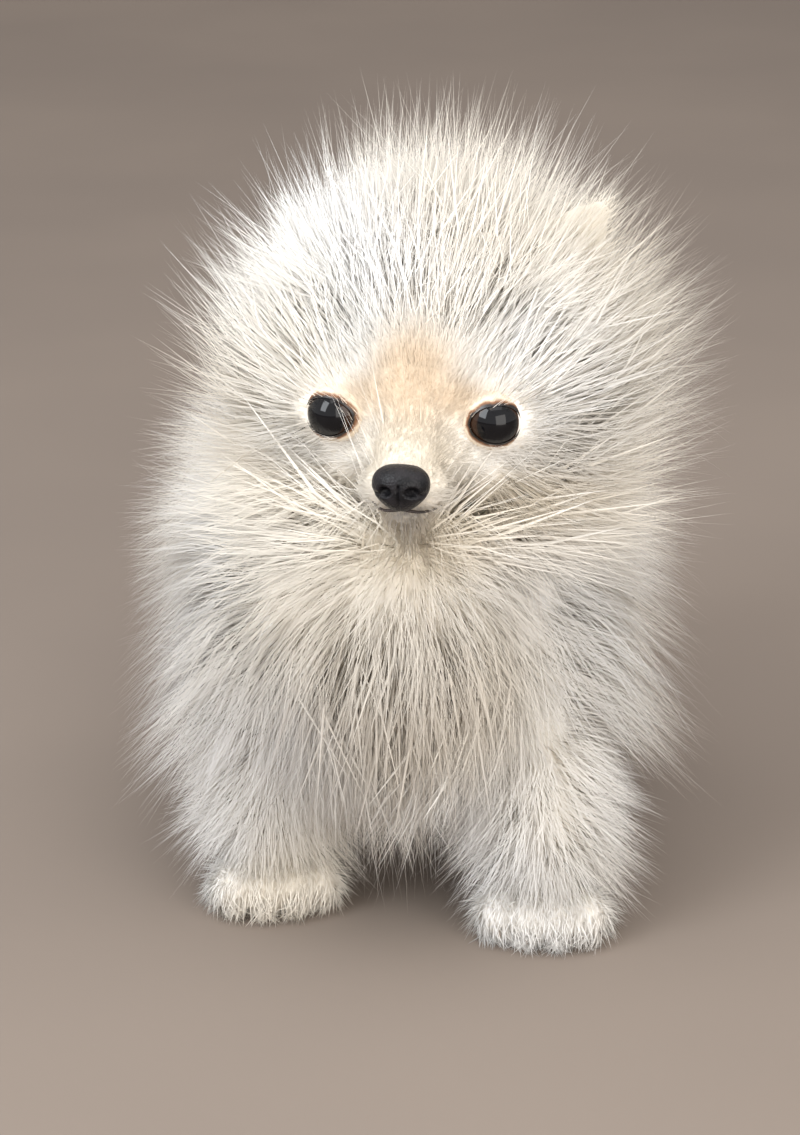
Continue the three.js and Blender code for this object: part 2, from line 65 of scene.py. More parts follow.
# The animal's driving dimensions, in millimetres, in the frame that the part's source is written in
SKULL = Vector((4.5, 20.8, 137.5))
HEAD_TURN = math.radians(-9)
EYE = {"x": 18.6, "y": -15.4, "z": 0.6, "radius": 7.9, "bulge": 0.9, "outward": 17}
NOSE = {"y": -37.4, "z": -10.3, "wide": 6.9, "deep": 5.2, "high": 6.4}
EAR = {"base": (21, 7, 20), "tip": (44, 15, 49), "buried_tip": (39, 19, 44), "wide": 13, "thick": 5.6}
PAW = {"long": 15, "wide": 16.5, "high": 12.5, "toe": 6.2}
TOES = 4

# The opening between the lids, half its width and half its height: fur hangs over part of the right eye
OPENING = {-1: (4.8, 4.2), 1: (6.3, 4.9)}

# How far the coat's tips reach: a centre, radii towards -x, +x, -y, +y, -z and +z, and a squareness
MANE_COAT = ((9.5, 32, 138), (72, 74, 46, 58, 50, 73), 2)
RUFF_COAT = ((5, 12, 112), (66, 70, 26, 72, 32, 40), 2)
TRUNK_COAT = ((-1, 72, 66), (76, 76, 86, 98, 44, 80), 2.2)
SKIRT_COAT = ((0, 42, 46), (74, 74, 46, 66, 32, 44), 3.2)
BIB_COAT = ((1, 12, 60), (42, 42, 31, 36, 46, 44), 2)
BODY_COATS = (MANE_COAT, RUFF_COAT, TRUNK_COAT, SKIRT_COAT, BIB_COAT)
PLUME_COAT = ((4, 129, 147), (37, 37, 35, 39, 26, 30), 2)
TAIL_ROOT_COAT = ((1, 148, 120), (26, 26, 26, 17, 24, 26), 2)
TAIL_COATS = (PLUME_COAT, TAIL_ROOT_COAT)

# Each leg has joints from shoulder or hip to foot, their radii, and how far its toes turn out, in degrees
FORE_RADII = (17, 12, 9, 8.5)
HIND_RADII = (20, 14, 8, 8)
LEGS = (
    {
        "name": "foreleg_left",
        "joints": ((20, 30, 84), (28, 27, 56), (34, 15, 30), (35, 13, 9)),
        "radii": FORE_RADII,
        "foot": (35, 12),
        "toes": -4,
    },
    {
        "name": "foreleg_right",
        "joints": ((-20, 30, 84), (-28, 33, 56), (-34, 31, 30), (-35, 30, 9)),
        "radii": FORE_RADII,
        "foot": (-35, 29),
        "toes": 10,
    },
    {
        "name": "hindleg_left",
        "joints": ((17, 116, 88), (26, 106, 58), (29, 133, 32), (30, 124, 9)),
        "radii": HIND_RADII,
        "foot": (30, 122),
        "toes": 0,
    },
    {
        "name": "hindleg_right",
        "joints": ((-17, 116, 88), (-26, 110, 58), (-29, 137, 32), (-30, 128, 9)),
        "radii": HIND_RADII,
        "foot": (-30, 126),
        "toes": 0,
    },
)
TAIL_PATH = ((0, 132, 104), (0, 151, 118), (1, 156, 135), (3, 143, 148), (5, 122, 151), (6, 105, 149))
TAIL_RADII = (8, 6.5, 5.5, 5, 4.5, 3.5)
CRANIUM = {"centre": (0, 3, 3), "radii": (25, 26, 24)}

# In metres: the grain that melts the skin together, the soles' height, and the coat's gap to the box
MELT_VOXEL = 0.0013
SOLE_HEIGHT = 0.0004
HAIR_MARGIN = 0.0002

# The coat has soft wide down, fine longer hairs in loose clumps over it, and short hair on face and feet
DOWN_TUFTS = 29000
DOWN_WIDTH = 1.9
CLUMPS = 8800
HAIRS_IN_A_CLUMP = 9
HAIR_WIDTH = 0.30
SHORT_TUFTS = 26000
SHORT_WIDTH = 0.26
LONG_COATS = ("coat_head", "coat_trunk", "coat_tail", "coat_legs")
SHINE_ACROSS = 0.55
TUFTS_IN_A_PIECE = 18000
RINGS_IN_A_TUFT = 2
SIDES_OF_A_TUFT = 3
PATCH = 0.003
PLAN_SHARE = 0.996
ROOT_DEPTH = 1.2
LIGHT_THROUGH_FUR = 0.14

# Where the regions of the coat part, in millimetres
HEAD_FLOOR = 108
HEAD_BACK = 62
LEG_TOP = 50
LEG_REACH = 26
FACE_EDGE = 37

# The nose's middle in the source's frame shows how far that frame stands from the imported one
nose_low, nose_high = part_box("nose")
SHIFT = (nose_low + nose_high) / 2 - Vector((-1.35, -16.15, 127.05)) * MM
SHIFT.z = 0.0


def placed(x, y, z):
    """A place in the source's frame, in millimetres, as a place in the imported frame, in metres."""
    return Vector((x, y, z)) * MM + SHIFT


# Where the viewer's eye is, in the source's frame
VIEWER = (-1.6, -715, 361)

HEAD_PLACE = Matrix.Translation(SKULL) @ Matrix.Rotation(HEAD_TURN, 4, "Z")


def in_head(x, y, z):
    """A place in the head's own frame as a place in the source's frame, both in millimetres."""
    return HEAD_PLACE @ Vector((x, y, z))


def unit(vectors):
    return vectors / np.maximum(np.linalg.norm(vectors, axis=-1, keepdims=True), 1e-9)


def eased(values, low, high):
    t = np.clip((values - low) / (high - low), 0, 1)
    return t * t * (3 - 2 * t)


# Colours, in patches that skin and coat share

WHITE = (0.965, 0.94, 0.90)
COOL_WHITE = (0.96, 0.96, 0.96)
CREAM = (0.94, 0.84, 0.68)
# A darker cream that paints shade on the muzzle, under the chin and at the feet
PAINTED_SHADE_CREAM = (0.72, 0.64, 0.52)
TAN = (0.62, 0.44, 0.27)
PIGMENT = (0.09, 0.08, 0.08)

# Soft oval patches in the source's frame: the middle, the radii, the colour and how strong it is
MARKINGS = (
    (in_head(0, -24, 12), (18, 18, 24), TAN, 0.75),
    (in_head(12, -22, 6), (9, 10, 8), TAN, 0.7),
    (in_head(-12, -22, 6), (9, 10, 8), TAN, 0.6),
    (in_head(19, -22, 3), (13, 10, 13), TAN, 0.4),
    (in_head(-19, -22, 3), (13, 10, 13), TAN, 0.4),
    (in_head(0, -30, -6), (16, 14, 12), CREAM, 0.8),
    (in_head(26, -14, -20), (22, 24, 12), CREAM, 0.8),
    (in_head(-26, -14, -20), (22, 24, 12), CREAM, 0.5),
    ((60, 40, 160), (45, 60, 50), CREAM, 0.6),
    ((-40, 30, 150), (45, 60, 50), CREAM, 0.3),
    ((70, 30, 110), (45, 50, 40), CREAM, 0.5),
    # Painted shade under the chin, in cream
    ((5, 6, 108), (30, 30, 16), CREAM, 0.9),
    ((0, 90, 130), (60, 70, 40), CREAM, 0.4),
    ((35, 14, 34), (26, 30, 26), CREAM, 0.4),
    ((-35, 30, 34), (26, 30, 26), CREAM, 0.35),
    # Painted shade on the muzzle in a darker cream, over the muzzle's own cream
    (in_head(0, -28, -8), (25, 24, 21), PAINTED_SHADE_CREAM, 0.75),
    # Painted shade under the chin, in a darker cream
    ((2, -8, 104), (26, 24, 15), PAINTED_SHADE_CREAM, 0.7),
    # Painted shade on the feet, low by the floor, in a darker cream
    ((34, 10, 8), (22, 26, 15), PAINTED_SHADE_CREAM, 0.45),
    ((-35, 27, 8), (22, 26, 15), PAINTED_SHADE_CREAM, 0.6),
    (in_head(0, -24, 12), (16, 17, 19), TAN, 0.45),
    (in_head(0, -35.5, -19.5), (12, 8, 6), PIGMENT, 0.75),
)


def soft_noise(points, size, seed):
    """Smooth noise about 0.5, from waves that cross at odd angles."""
    waves = np.random.default_rng(seed)
    total = np.zeros(len(points))
    for _ in range(12):
        heading = waves.normal(0, 1, 3)
        heading *= 2 * math.pi / (np.linalg.norm(heading) * size * (0.6 + 0.9 * waves.random()))
        total += np.sin(points @ heading + waves.random() * 2 * math.pi)
    return 0.5 + 0.06 * total


def tinted(tint, colour, share):
    return tint + (np.array(colour) - tint) * np.asarray(share)[:, None]


def coat_tint(points):
    """White with cream on the crown's sides, the cheeks and the legs, and tan between the eyes, with
    painted shade in cream and darker cream under the chin, on the muzzle and at the feet.
    """
    tint = np.tile(np.array(WHITE), (len(points), 1))
    tint = tinted(tint, COOL_WHITE, eased(soft_noise(points, 50, 1), 0.35, 0.65))
    tint = tinted(tint, CREAM, 0.5 * eased(soft_noise(points, 75, 2), 0.42, 0.7))
    for centre, radii, colour, strength in MARKINGS:
        away = np.linalg.norm((points - np.array(centre)) / np.array(radii, float), axis=1)
        tint = tinted(tint, colour, strength * (1 - eased(away, 0.25, 1.0)))
    return tint


def wear_tint(mesh, tint):
    """Keeps a colour for each vertex in the mesh's own attribute."""
    colours = np.ones((len(mesh.vertices), 4), np.float32)
    colours[:, :3] = tint
    mesh.attributes.new("tint", "FLOAT_COLOR", "POINT").data.foreach_set("color", colours.ravel())


# Meshes


def finished(name, bm, materials):
    mesh = bpy.data.meshes.new(name)
    bm.normal_update()
    bm.to_mesh(mesh)
    bm.free()
    for material in materials:
        mesh.materials.append(material)
    mesh.polygons.foreach_set("use_smooth", [True] * len(mesh.polygons))
    piece = bpy.data.objects.new(name, mesh)
    bpy.context.scene.collection.objects.link(piece)
    return piece


def add_egg(bm, centre, radii, turn=Matrix.Identity(4), around=32, rings=20):
    made = bmesh.ops.create_uvsphere(bm, u_segments=around, v_segments=rings, radius=1.0)
    scale = Matrix.Diagonal((*radii, 1.0))
    bmesh.ops.transform(bm, matrix=Matrix.Translation(centre) @ turn @ scale, verts=made["verts"])
    return made["verts"]


def add_limb(bm, start, end, start_radius, end_radius):
    """A round-ended limb between two places."""
    start, end = Vector(start), Vector(end)
    axis = end - start
    turn = axis.to_track_quat("Z", "Y").to_matrix().to_4x4()
    made = bmesh.ops.create_cone(
        bm, cap_ends=True, segments=28, radius1=start_radius, radius2=end_radius, depth=axis.length
    )
    bmesh.ops.transform(bm, matrix=Matrix.Translation((start + end) / 2) @ turn, verts=made["verts"])
    add_egg(bm, start, (start_radius,) * 3)
    add_egg(bm, end, (end_radius,) * 3)


def to_metres(bm):
    """Takes a mesh from the source's frame, in millimetres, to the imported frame, in metres."""
    bmesh.ops.scale(bm, vec=(MM, MM, MM), verts=bm.verts)
    bmesh.ops.translate(bm, vec=SHIFT, verts=bm.verts)


def add_chain(bm, points, radii):
    for i in range(len(points) - 1):
        add_limb(bm, points[i], points[i + 1], radii[i], radii[i + 1])


def add_head_egg(bm, centre, radii):
    turn = Matrix.Rotation(HEAD_TURN, 4, "Z")
    return add_egg(bm, HEAD_PLACE @ Vector(centre), radii, turn)


# Materials


def new_material(name):
    material = bpy.data.materials.new(name)
    material.use_nodes = True
    nodes = material.node_tree.nodes
    shader = nodes["Principled BSDF"]
    return material, nodes, material.node_tree.links, shader


def noise(nodes, links, vector, scale, detail=3.0, roughness=0.55):
    node = nodes.new("ShaderNodeTexNoise")
    node.inputs["Scale"].default_value = scale
    node.inputs["Detail"].default_value = detail
    node.inputs["Roughness"].default_value = roughness
    links.new(vector, node.inputs["Vector"])
    return node.outputs["Fac"]


def ranged(nodes, links, value, low, high, to_low=0.0, to_high=1.0):
    node = nodes.new("ShaderNodeMapRange")
    node.interpolation_type = "SMOOTHSTEP"
    node.inputs["From Min"].default_value = low
    node.inputs["From Max"].default_value = high
    node.inputs["To Min"].default_value = to_low
    node.inputs["To Max"].default_value = to_high
    links.new(value, node.inputs["Value"])
    return node.outputs["Result"]


def mixed(nodes, links, factor, first, second):
    node = nodes.new("ShaderNodeMix")
    node.data_type = "RGBA"
    links.new(factor, node.inputs["Factor"])
    for socket, value in ((node.inputs[6], first), (node.inputs[7], second)):
        if isinstance(value, tuple):
            socket.default_value = value
        else:
            links.new(value, socket)
    return node.outputs[2]


def arithmetic(nodes, links, operation, first, second):
    node = nodes.new("ShaderNodeMath")
    node.operation = operation
    for socket, value in zip(node.inputs, (first, second)):
        if isinstance(value, (int, float)):
            socket.default_value = value
        else:
            links.new(value, socket)
    return node.outputs[0]


def own_tint(nodes):
    tint = nodes.new("ShaderNodeAttribute")
    tint.attribute_name = "tint"
    return tint.outputs["Color"]


def fur_material():
    """Soft hair in its own tint that lets a little light through."""
    material, nodes, links, shader = new_material("white_fur")
    colour = own_tint(nodes)
    links.new(colour, shader.inputs["Base Color"])
    shader.inputs["Roughness"].default_value = 0.62
    shader.inputs["Specular IOR Level"].default_value = 0.2
    through = nodes.new("ShaderNodeBsdfTranslucent")
    links.new(colour, through.inputs["Color"])
    blend = nodes.new("ShaderNodeMixShader")
    blend.inputs["Fac"].default_value = LIGHT_THROUGH_FUR
    links.new(shader.outputs["BSDF"], blend.inputs[1])
    links.new(through.outputs["BSDF"], blend.inputs[2])
    links.new(blend.outputs["Shader"], nodes["Material Output"].inputs["Surface"])
    return material


def skin_material():
    """The skin's down in the coat's tint, with fine creamy grain."""
    material, nodes, links, shader = new_material("down_on_skin")
    position = nodes.new("ShaderNodeTexCoord").outputs["Object"]
    fine = noise(nodes, links, position, 900, 2)
    share = ranged(nodes, links, fine, 0.3, 0.8, 0.0, 0.5)
    links.new(mixed(nodes, links, share, own_tint(nodes), (*CREAM, 1)), shader.inputs["Base Color"])
    shader.inputs["Roughness"].default_value = 0.85
    bump = nodes.new("ShaderNodeBump")
    bump.inputs["Strength"].default_value = 0.5
    bump.inputs["Distance"].default_value = 0.0006
    links.new(fine, bump.inputs["Height"])
    links.new(bump.outputs["Normal"], shader.inputs["Normal"])
    return material


def nose_material():
    material, nodes, links, shader = new_material("black_nose_leather")
    position = nodes.new("ShaderNodeTexCoord").outputs["Object"]
    pebbles = nodes.new("ShaderNodeTexVoronoi")
    pebbles.inputs["Scale"].default_value = 1500
    links.new(position, pebbles.inputs["Vector"])
    patches = ranged(nodes, links, noise(nodes, links, position, 320), 0.35, 0.7)
    black = mixed(nodes, links, patches, (0.005, 0.005, 0.006, 1), (0.016, 0.014, 0.016, 1))
    links.new(black, shader.inputs["Base Color"])
    links.new(ranged(nodes, links, patches, 0.0, 1.0, 0.34, 0.5), shader.inputs["Roughness"])
    shader.inputs["Specular IOR Level"].default_value = 0.22
    bump = nodes.new("ShaderNodeBump")
    bump.inputs["Strength"].default_value = 0.55
    bump.inputs["Distance"].default_value = 0.00025
    bump.invert = True
    links.new(pebbles.outputs["Distance"], bump.inputs["Height"])
    links.new(bump.outputs["Normal"], shader.inputs["Normal"])
    return material


def eye_material():
    """A near-black pupil in a very dark brown iris, under a wet clear cornea."""
    material, nodes, links, shader = new_material("dark_eye")
    facing = nodes.new("ShaderNodeAttribute")
    facing.attribute_name = "facing"
    iris = ranged(nodes, links, facing.outputs["Fac"], 0.80, 0.86)
    limbus = ranged(nodes, links, facing.outputs["Fac"], 0.58, 0.66)
    brown = mixed(nodes, links, iris, (0.030, 0.014, 0.008, 1), (0.003, 0.003, 0.004, 1))
    links.new(mixed(nodes, links, limbus, (0.012, 0.008, 0.008, 1), brown), shader.inputs["Base Color"])
    shader.inputs["Roughness"].default_value = 0.05
    shader.inputs["Specular IOR Level"].default_value = 0.3
    return material


def lip_material():
    """Dark wet pigment, a little browner in places."""
    material, nodes, links, shader = new_material("dark_lip")
    position = nodes.new("ShaderNodeTexCoord").outputs["Object"]
    fine = ranged(nodes, links, noise(nodes, links, position, 600), 0.35, 0.7)
    dark = mixed(nodes, links, fine, (0.010, 0.008, 0.008, 1), (0.05, 0.03, 0.025, 1))
    links.new(dark, shader.inputs["Base Color"])
    shader.inputs["Roughness"].default_value = 0.4
    return material


def lid_material():
    """Black on the edge of the opening, then warm brown, then pale as the hair around it."""
    material, nodes, links, shader = new_material("lid_skin")
    position = nodes.new("ShaderNodeTexCoord").outputs["Object"]
    outer = nodes.new("ShaderNodeAttribute")
    outer.attribute_name = "outer"
    fine = ranged(nodes, links, noise(nodes, links, position, 500), 0.3, 0.75, -2.0, 2.0)
    degrees = arithmetic(nodes, links, "ADD", outer.outputs["Fac"], fine)
    past_edge = ranged(nodes, links, degrees, 2.5, 8.0)
    rim = mixed(nodes, links, past_edge, (0.008, 0.006, 0.006, 1), (0.22, 0.10, 0.045, 1))
    past_rim = ranged(nodes, links, degrees, 7.0, 15.0)
    down = (0.80, 0.68, 0.53, 1)
    links.new(mixed(nodes, links, past_rim, rim, down), shader.inputs["Base Color"])
    links.new(ranged(nodes, links, degrees, 3.0, 9.0, 0.3, 0.8), shader.inputs["Roughness"])
    return material


def claw_material():
    material, nodes, links, shader = new_material("claw_horn")
    position = nodes.new("ShaderNodeTexCoord").outputs["Object"]
    streaks = ranged(nodes, links, noise(nodes, links, position, 700, 4), 0.3, 0.75)
    horn = mixed(nodes, links, streaks, (0.42, 0.31, 0.24, 1), (0.66, 0.54, 0.45, 1))
    links.new(horn, shader.inputs["Base Color"])
    shader.inputs["Roughness"].default_value = 0.38
    return material


# The skin: one closed surface from limbs and eggs, melted together and smoothed


def add_skull(bm):
    """The cranium, brows, cheeks and muzzle, with the pads of the upper lip and the lower jaw."""
    add_head_egg(bm, CRANIUM["centre"], CRANIUM["radii"])
    add_head_egg(bm, (0, -14, -8), (14, 13, 11))
    for side in (-1, 1):
        add_head_egg(bm, (side * 18, -10, 0.5), (14.5, 11.6, 12.5))
        add_head_egg(bm, (side * 15, -6, -10), (13, 14, 11))
        add_head_egg(bm, (side * 4.4, -29.8, -12.8), (5.9, 6.6, 5.2))
    add_limb(bm, in_head(0, -12, -2), in_head(0, -31.5, -8.4), 9.6, 6.4)
    add_head_egg(bm, (0, -25.5, -19), (6.0, 8.6, 4.4))


def add_trunk(bm):
    """The neck, the chest, the back and the rump."""
    add_limb(bm, (4, 30, 120), (0, 44, 98), 19, 24)
    add_egg(bm, (0, 36, 90), (30, 34, 30))
    add_limb(bm, (0, 40, 90), (0, 116, 90), 27, 26)
    add_egg(bm, (0, 118, 90), (28, 28, 28))


def build_skin(material):
    bm = bmesh.new()
    add_skull(bm)
    add_trunk(bm)
    for leg in LEGS:
        add_chain(bm, leg["joints"], leg["radii"])
    add_chain(bm, TAIL_PATH, TAIL_RADII)
    for side in (-1, 1):
        add_ear(bm, side)
    for leg in LEGS:
        add_paw(bm, leg)
    to_metres(bm)
    rough = finished("skin_rough", bm, [])
    remesh = rough.modifiers.new("melt", "REMESH")
    remesh.mode = "VOXEL"
    remesh.voxel_size = MELT_VOXEL
    smooth = rough.modifiers.new("smooth", "SMOOTH")
    smooth.factor = 0.5
    smooth.iterations = 6
    melted = rough.evaluated_get(bpy.context.evaluated_depsgraph_get())
    mesh = bpy.data.meshes.new_from_object(melted)
    bpy.data.objects.remove(rough)
    mesh.name = "skin"
    skin = bpy.data.objects.new("skin", mesh)
    bpy.context.scene.collection.objects.link(skin)
    places = sit_on_floor(mesh)
    near_nose = np.linalg.norm((places - np.array(in_head(0, -37, -9.6))) / (9, 7, 7.5), axis=1)
    bare_share = 0.85 * (1 - eased(near_nose, 0.3, 1.0))
    wear_tint(mesh, tinted(coat_tint(places), PIGMENT, bare_share))
    mesh.materials.append(material)
    mesh.polygons.foreach_set("use_smooth", [True] * len(mesh.polygons))
    unwrap(skin)
    return skin


def add_ear(bm, side):
    """A leaf with a cup pressed into its front, standing on the side of the crown."""
    base, tip = Vector(EAR["base"]), Vector(EAR["tip"])
    if side < 0:
        tip = Vector(EAR["buried_tip"])
    base.x, tip.x = base.x * side, tip.x * side
    up = tip - base
    front = Vector((side * 0.35, -1, 0.15))
    across = up.cross(front).normalized()
    facing = across.cross(up).normalized()
    for vertex in add_egg(bm, (0, 0, 0), (1, 1, 1), around=36, rings=28):
        along = min(1.0, max(0.0, (vertex.co.z + 1) / 2))
        wide = math.sin(math.pi * along**0.8) ** 0.75 * (1 - 0.1 * along)
        ring = math.hypot(vertex.co.x, vertex.co.y) or 1.0
        x, y = vertex.co.x / ring * wide, vertex.co.y / ring * wide
        cup = 0.38 * max(0.0, 1 - (x / 0.95) ** 2) * math.sin(math.pi * along)
        place = base + up * (along * 1.08 - 0.12)
        bow = (y * 0.19 - cup + 0.1) * EAR["thick"] * 1.6
        vertex.co = HEAD_PLACE @ (place + across * (x * EAR["wide"] * 0.9) + facing * bow)


def foot_turn(leg):
    return Matrix.Rotation(math.radians(leg["toes"]), 4, "Z")


def foot_place(leg):
    return Matrix.Translation((*leg["foot"], 0)) @ foot_turn(leg)


def toe_place(i):
    """How far to the side and ahead the toe lies in its paw. The middle two stand further ahead."""
    return (i - 1.5) * PAW["wide"] * 0.43, -PAW["long"] * 0.72 + abs(i - 1.5) * 2.6


def add_paw(bm, leg):
    turn, base = foot_turn(leg), foot_place(leg)
    sole = (PAW["wide"] * 0.72, PAW["long"] * 0.9, PAW["high"] * 0.55)
    add_egg(bm, base @ Vector((0, -2, PAW["high"] * 0.45)), sole, turn)
    toe = (PAW["toe"] * 0.8, PAW["toe"] * 1.2, PAW["toe"] * 0.95)
    for i in range(TOES):
        across, ahead = toe_place(i)
        add_egg(bm, base @ Vector((across, ahead, PAW["toe"] * 0.9)), toe, turn)


def sit_on_floor(mesh):
    """The soles are flat where they meet the floor. Gives back the places in the source's frame."""
    count = len(mesh.vertices)
    places = np.empty(count * 3, np.float32)
    mesh.vertices.foreach_get("co", places)
    places = places.reshape(-1, 3)
    places[:, 2] = np.maximum(places[:, 2], SOLE_HEIGHT)
    mesh.vertices.foreach_set("co", places.ravel())
    mesh.update()
    return (places - np.array(SHIFT)) / MM


def unwrap(piece):
    """An unwrap of the skin's own shape, which the coat's tufts share."""
    piece.data.uv_layers.new(name="OFBake")
    bpy.context.view_layer.objects.active = piece
    piece.select_set(True)
    bpy.ops.object.mode_set(mode="EDIT")
    bpy.ops.mesh.select_all(action="SELECT")
    bpy.ops.uv.smart_project(angle_limit=math.radians(66), island_margin=0.002)
    bpy.ops.object.mode_set(mode="OBJECT")
    piece.select_set(False)


# The coat's lie and length, worked out for many roots at once, in millimetres in the source's frame


def level_in(eggs, points):
    """Under 1 inside the eggs' union, 1 on it and more outside."""
    levels = []
    for centre, radii, squareness in eggs:
        offset = points - np.array(centre, float)
        low, high = np.array(radii[0::2], float), np.array(radii[1::2], float)
        share = np.abs(offset / np.where(offset < 0, low, high))
        levels.append((share**squareness).sum(1) ** (1 / squareness))
    return np.min(levels, axis=0)


def local_to_head(points):
    inverse = np.array(HEAD_PLACE.inverted())
    return points @ inverse[:3, :3].T + inverse[:3, 3]


def local_to_eye(points, side):
    """Places seen along an eye's own gaze: its -Y axis points out of the pupil."""
    offset = local_to_head(points) - np.array((side * EYE["x"], EYE["y"], EYE["z"]))
    angle = -math.radians(side * EYE["outward"])
    turn = np.array(Matrix.Rotation(angle, 3, "Z"))
    return offset @ turn.T


class Lie:
    """The region that each root belongs to, and how its hair flows, how it rises and how long it is."""

    def __init__(self, points, normals):
        self.points, self.normals = points, normals
        self.local = local = local_to_head(points)
        headed = (points[:, 2] > HEAD_FLOOR) & (points[:, 1] < HEAD_BACK)
        in_front = eased(-local[:, 1], -12, 6)
        spread = np.hypot(local[:, 0], local[:, 2] + 3)
        throat = 16 * eased(-local[:, 2], 20, 29)
        # How far round the muzzle a root is, and far off wherever the hair is long
        self.spread = np.where(headed & (local[:, 1] < 10), spread + (1 - in_front) * 30 + throat, 99)
        foot = np.full(len(points), 1e9)
        for leg in LEGS:
            ankle_x, ankle_y, _ = leg["joints"][-1]
            foot = np.minimum(foot, np.hypot(points[:, 0] - ankle_x, points[:, 1] - ankle_y))
        self.on_leg = (points[:, 2] < LEG_TOP) & (foot < LEG_REACH)
        behind = (points[:, 1] > 96) & (points[:, 2] > 121)
        self.on_tail = behind | (points[:, 1] > 138) & (points[:, 2] > 112)
        base, tip = np.array(EAR["base"], float), np.array(EAR["tip"], float)
        mirrored = local * np.where(local[:, :1] < 0, (-1, 1, 1), (1, 1, 1))
        height = (mirrored - base) @ (tip - base) / np.sum((tip - base) ** 2)
        aside = np.linalg.norm(mirrored - base - height[:, None] * (tip - base), axis=1)
        skull = np.linalg.norm((local - CRANIUM["centre"]) / CRANIUM["radii"], axis=1)
        self.on_ear = (height > 0.2) & (aside < 15) & (skull > 1.13)
        self.spread = np.where(self.on_ear, 99, self.spread)
        self.on_head = headed & ~self.on_tail

    def flow(self):
        """The way the hair lies along the skin: out from the nose, back and down on the trunk."""
        points = self.points
        x, y, z = points.T
        ones = np.ones(len(points))
        nose = np.array(in_head(0, NOSE["y"] + 4, NOSE["z"] - 2))
        low = (1 - eased(z, 104, 126))[:, None]
        over_chest = unit(np.stack([x * 0.012, np.where(y < 40, -0.5, 0.7), -ones], 1))
        mane = unit(points - nose) * (1 - low) + over_chest * low
        high = eased(z, 78, 118)
        front = 1 - eased(y, 18, 60)
        behind = eased(y, 118, 150)
        backward = high * (1 - behind) + 0.25 + (0.35 - 0.55 * front) * (1 - high)
        trunk = np.stack([x * 0.004, backward, -(1 - high) - 0.3 * front - 0.6 * behind], 1)
        ahead = 1 - eased(z, 10, 24)
        down = np.stack([0 * ones, 0.3 - 1.5 * ahead, -ones + 0.6 * ahead], 1)
        over = eased(z, 124, 150)
        plume = np.stack([0.02 * x, 0.2 - 0.9 * over, 0.4 - 0.5 * over], 1)
        side = np.where(self.local[:, 0] < 0, -1, 1)
        up_ear = np.stack([side * 0.6, 0.2 * ones, 0.8 * ones], 1)
        flow = np.where(self.on_head[:, None], mane, unit(trunk))
        flow = np.where(self.on_leg[:, None], down, flow)
        flow = np.where(self.on_tail[:, None], plume, flow)
        flow = np.where(self.on_ear[:, None], up_ear, flow)
        flow = flow - self.normals * np.sum(flow * self.normals, 1, keepdims=True)
        return unit(flow)

    def rise(self):
        """How steeply the hair stands: flat on the muzzle, and out from the body elsewhere."""
        rise = np.full(len(self.points), 0.56)
        rise = np.where(self.on_head, 0.30 + 0.32 * eased(self.spread, 16, 42), rise)
        rise = np.where(self.on_ear, 0.3, rise)
        return np.where(self.on_leg, 0.56 - 0.24 * (1 - eased(self.points[:, 2], 8, 20)), rise)

    def cap(self):
        """The longest that the hair may be here: short on the muzzle, the ears and the feet."""
        spread = self.spread
        face = 3.0 + 5 * eased(spread, 9, 17) + 13 * eased(spread, 16, 25) + 45 * eased(spread, 21, 36)
        cap = np.where(self.on_head, face, 70)
        cap = np.where(self.on_ear, 8.0, cap)
        return np.where(self.on_leg, 7 + 16 * eased(self.points[:, 2], 8, 26), cap)

    def least(self):
        """The hair is never shorter than this: the throat's skin lies close to the coat's tips."""
        over = eased(-self.local[:, 2], 20, 27) * (1 - eased(np.abs(self.local[:, 0]), 20, 32))
        return 2 + 15 * over * (self.points[:, 1] < 22) * (self.points[:, 2] > 84)

    def region(self):
        """The place in LONG_COATS of the coat piece that each root belongs to."""
        return np.where(self.on_head, 0, np.where(self.on_tail, 2, np.where(self.on_leg, 3, 1)))


def length_to_tips(points, heading, reach, lie, cap, step=0.8):
    """Walks outwards from each root until it meets its share of the coat's depth."""
    length = np.full(len(points), 2.0)
    going = np.arange(len(points))
    while len(going) > 0:
        at = points[going] + heading[going] * length[going, None]
        level = np.where(lie.on_tail[going], level_in(TAIL_COATS, at), level_in(BODY_COATS, at))
        level = np.where(lie.on_leg[going] | lie.on_ear[going], 0.0, level)
        going = going[(level < reach[going]) & (length[going] < cap[going])]
        length[going] += step
    return length


# Tufts are closed three-sided hairs, joined from arrays


def ground_of(skin):
    """Corners, normals, places on the unwrap and areas of the skin's triangles."""
    mesh = skin.data
    mesh.calc_loop_triangles()
    total = len(mesh.loop_triangles)
    corners = np.empty(total * 3, np.int32)
    loops = np.empty(total * 3, np.int32)
    mesh.loop_triangles.foreach_get("vertices", corners)
    mesh.loop_triangles.foreach_get("loops", loops)
    places = np.empty(len(mesh.vertices) * 3)
    mesh.vertices.foreach_get("co", places)
    normals = np.empty(len(mesh.vertices) * 3)
    mesh.vertices.foreach_get("normal", normals)
    plan = np.empty(len(mesh.loops) * 2)
    mesh.uv_layers["OFBake"].data.foreach_get("uv", plan)
    triangle = (places.reshape(-1, 3) - np.array(SHIFT))[corners].reshape(-1, 3, 3) / MM
    slope = normals.reshape(-1, 3)[corners].reshape(-1, 3, 3)
    plan = plan.reshape(-1, 2)[loops].reshape(-1, 3, 2)
    edge, other_edge = triangle[:, 1] - triangle[:, 0], triangle[:, 2] - triangle[:, 0]
    area = np.linalg.norm(np.cross(edge, other_edge), axis=1)
    return triangle, slope, plan, area


